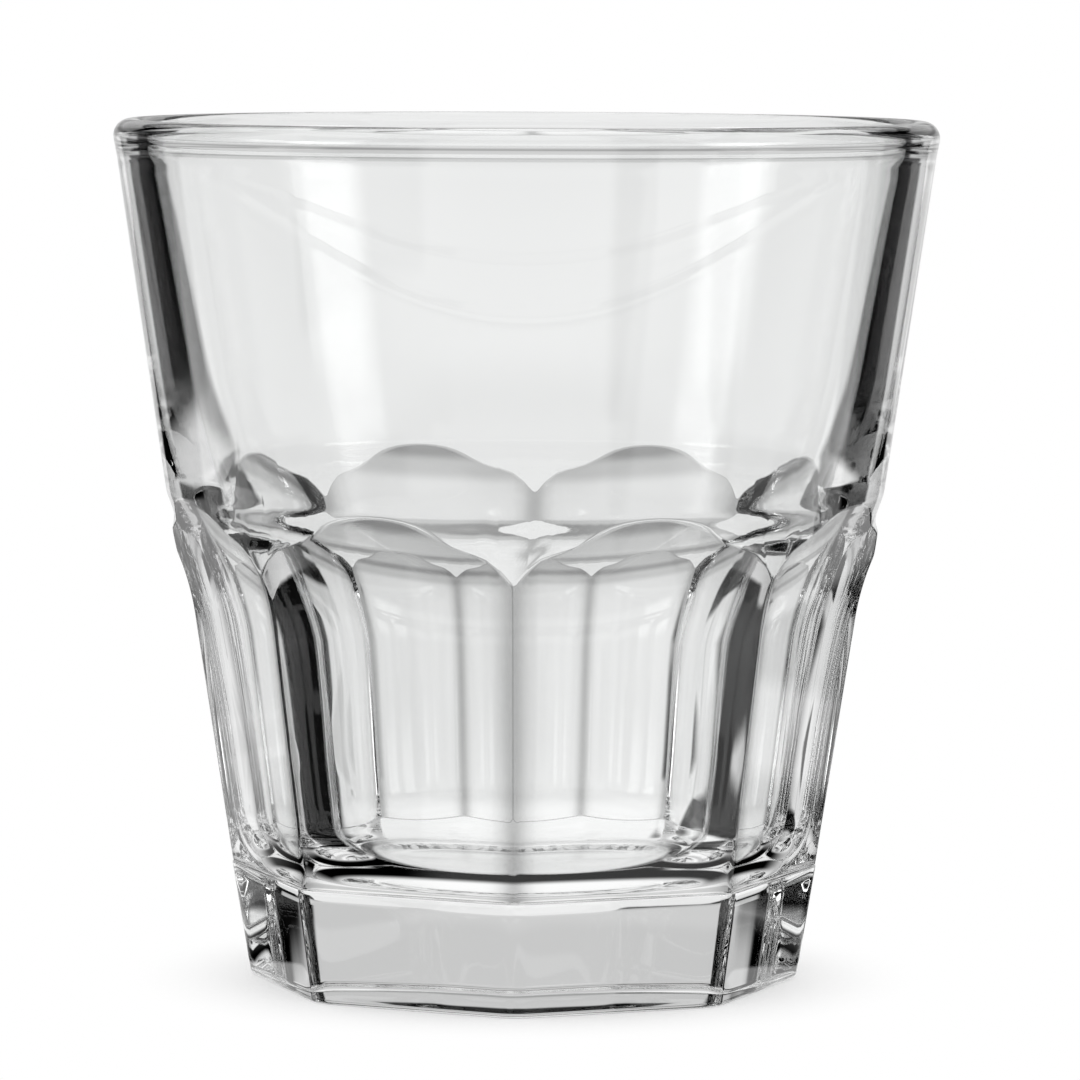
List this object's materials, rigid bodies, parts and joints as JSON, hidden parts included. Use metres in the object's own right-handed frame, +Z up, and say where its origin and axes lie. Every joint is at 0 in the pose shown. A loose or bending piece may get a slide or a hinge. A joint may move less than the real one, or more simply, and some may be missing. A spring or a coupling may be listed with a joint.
{
  "type": "rocks glass",
  "caption": "Heavy pressed rocks glass with a solid base, flat arched panels round the lower bowl, a plain tapering upper wall and a rounded lip.",
  "frame": {"origin": "middle of the foot, on the plane the glass stands on", "axes": "+Z up along the axis of the bowl, with a ridge between two panels at -Y, +X, +Y and -X"},
  "size_m": [0.086, 0.086, 0.09],
  "materials": {
    "clear_glass": "clear, fire-polished, gloss"
  },
  "bodies": {
    "root": {"rim_lip": "clear_glass", "upper_wall": "clear_glass", "panel_1": "clear_glass", "panel_2": "clear_glass", "panel_3": "clear_glass", "panel_4": "clear_glass", "panel_5": "clear_glass", "panel_6": "clear_glass", "panel_7": "clear_glass", "panel_8": "clear_glass", "solid_base": "clear_glass"}
  },
  "joints": []
}
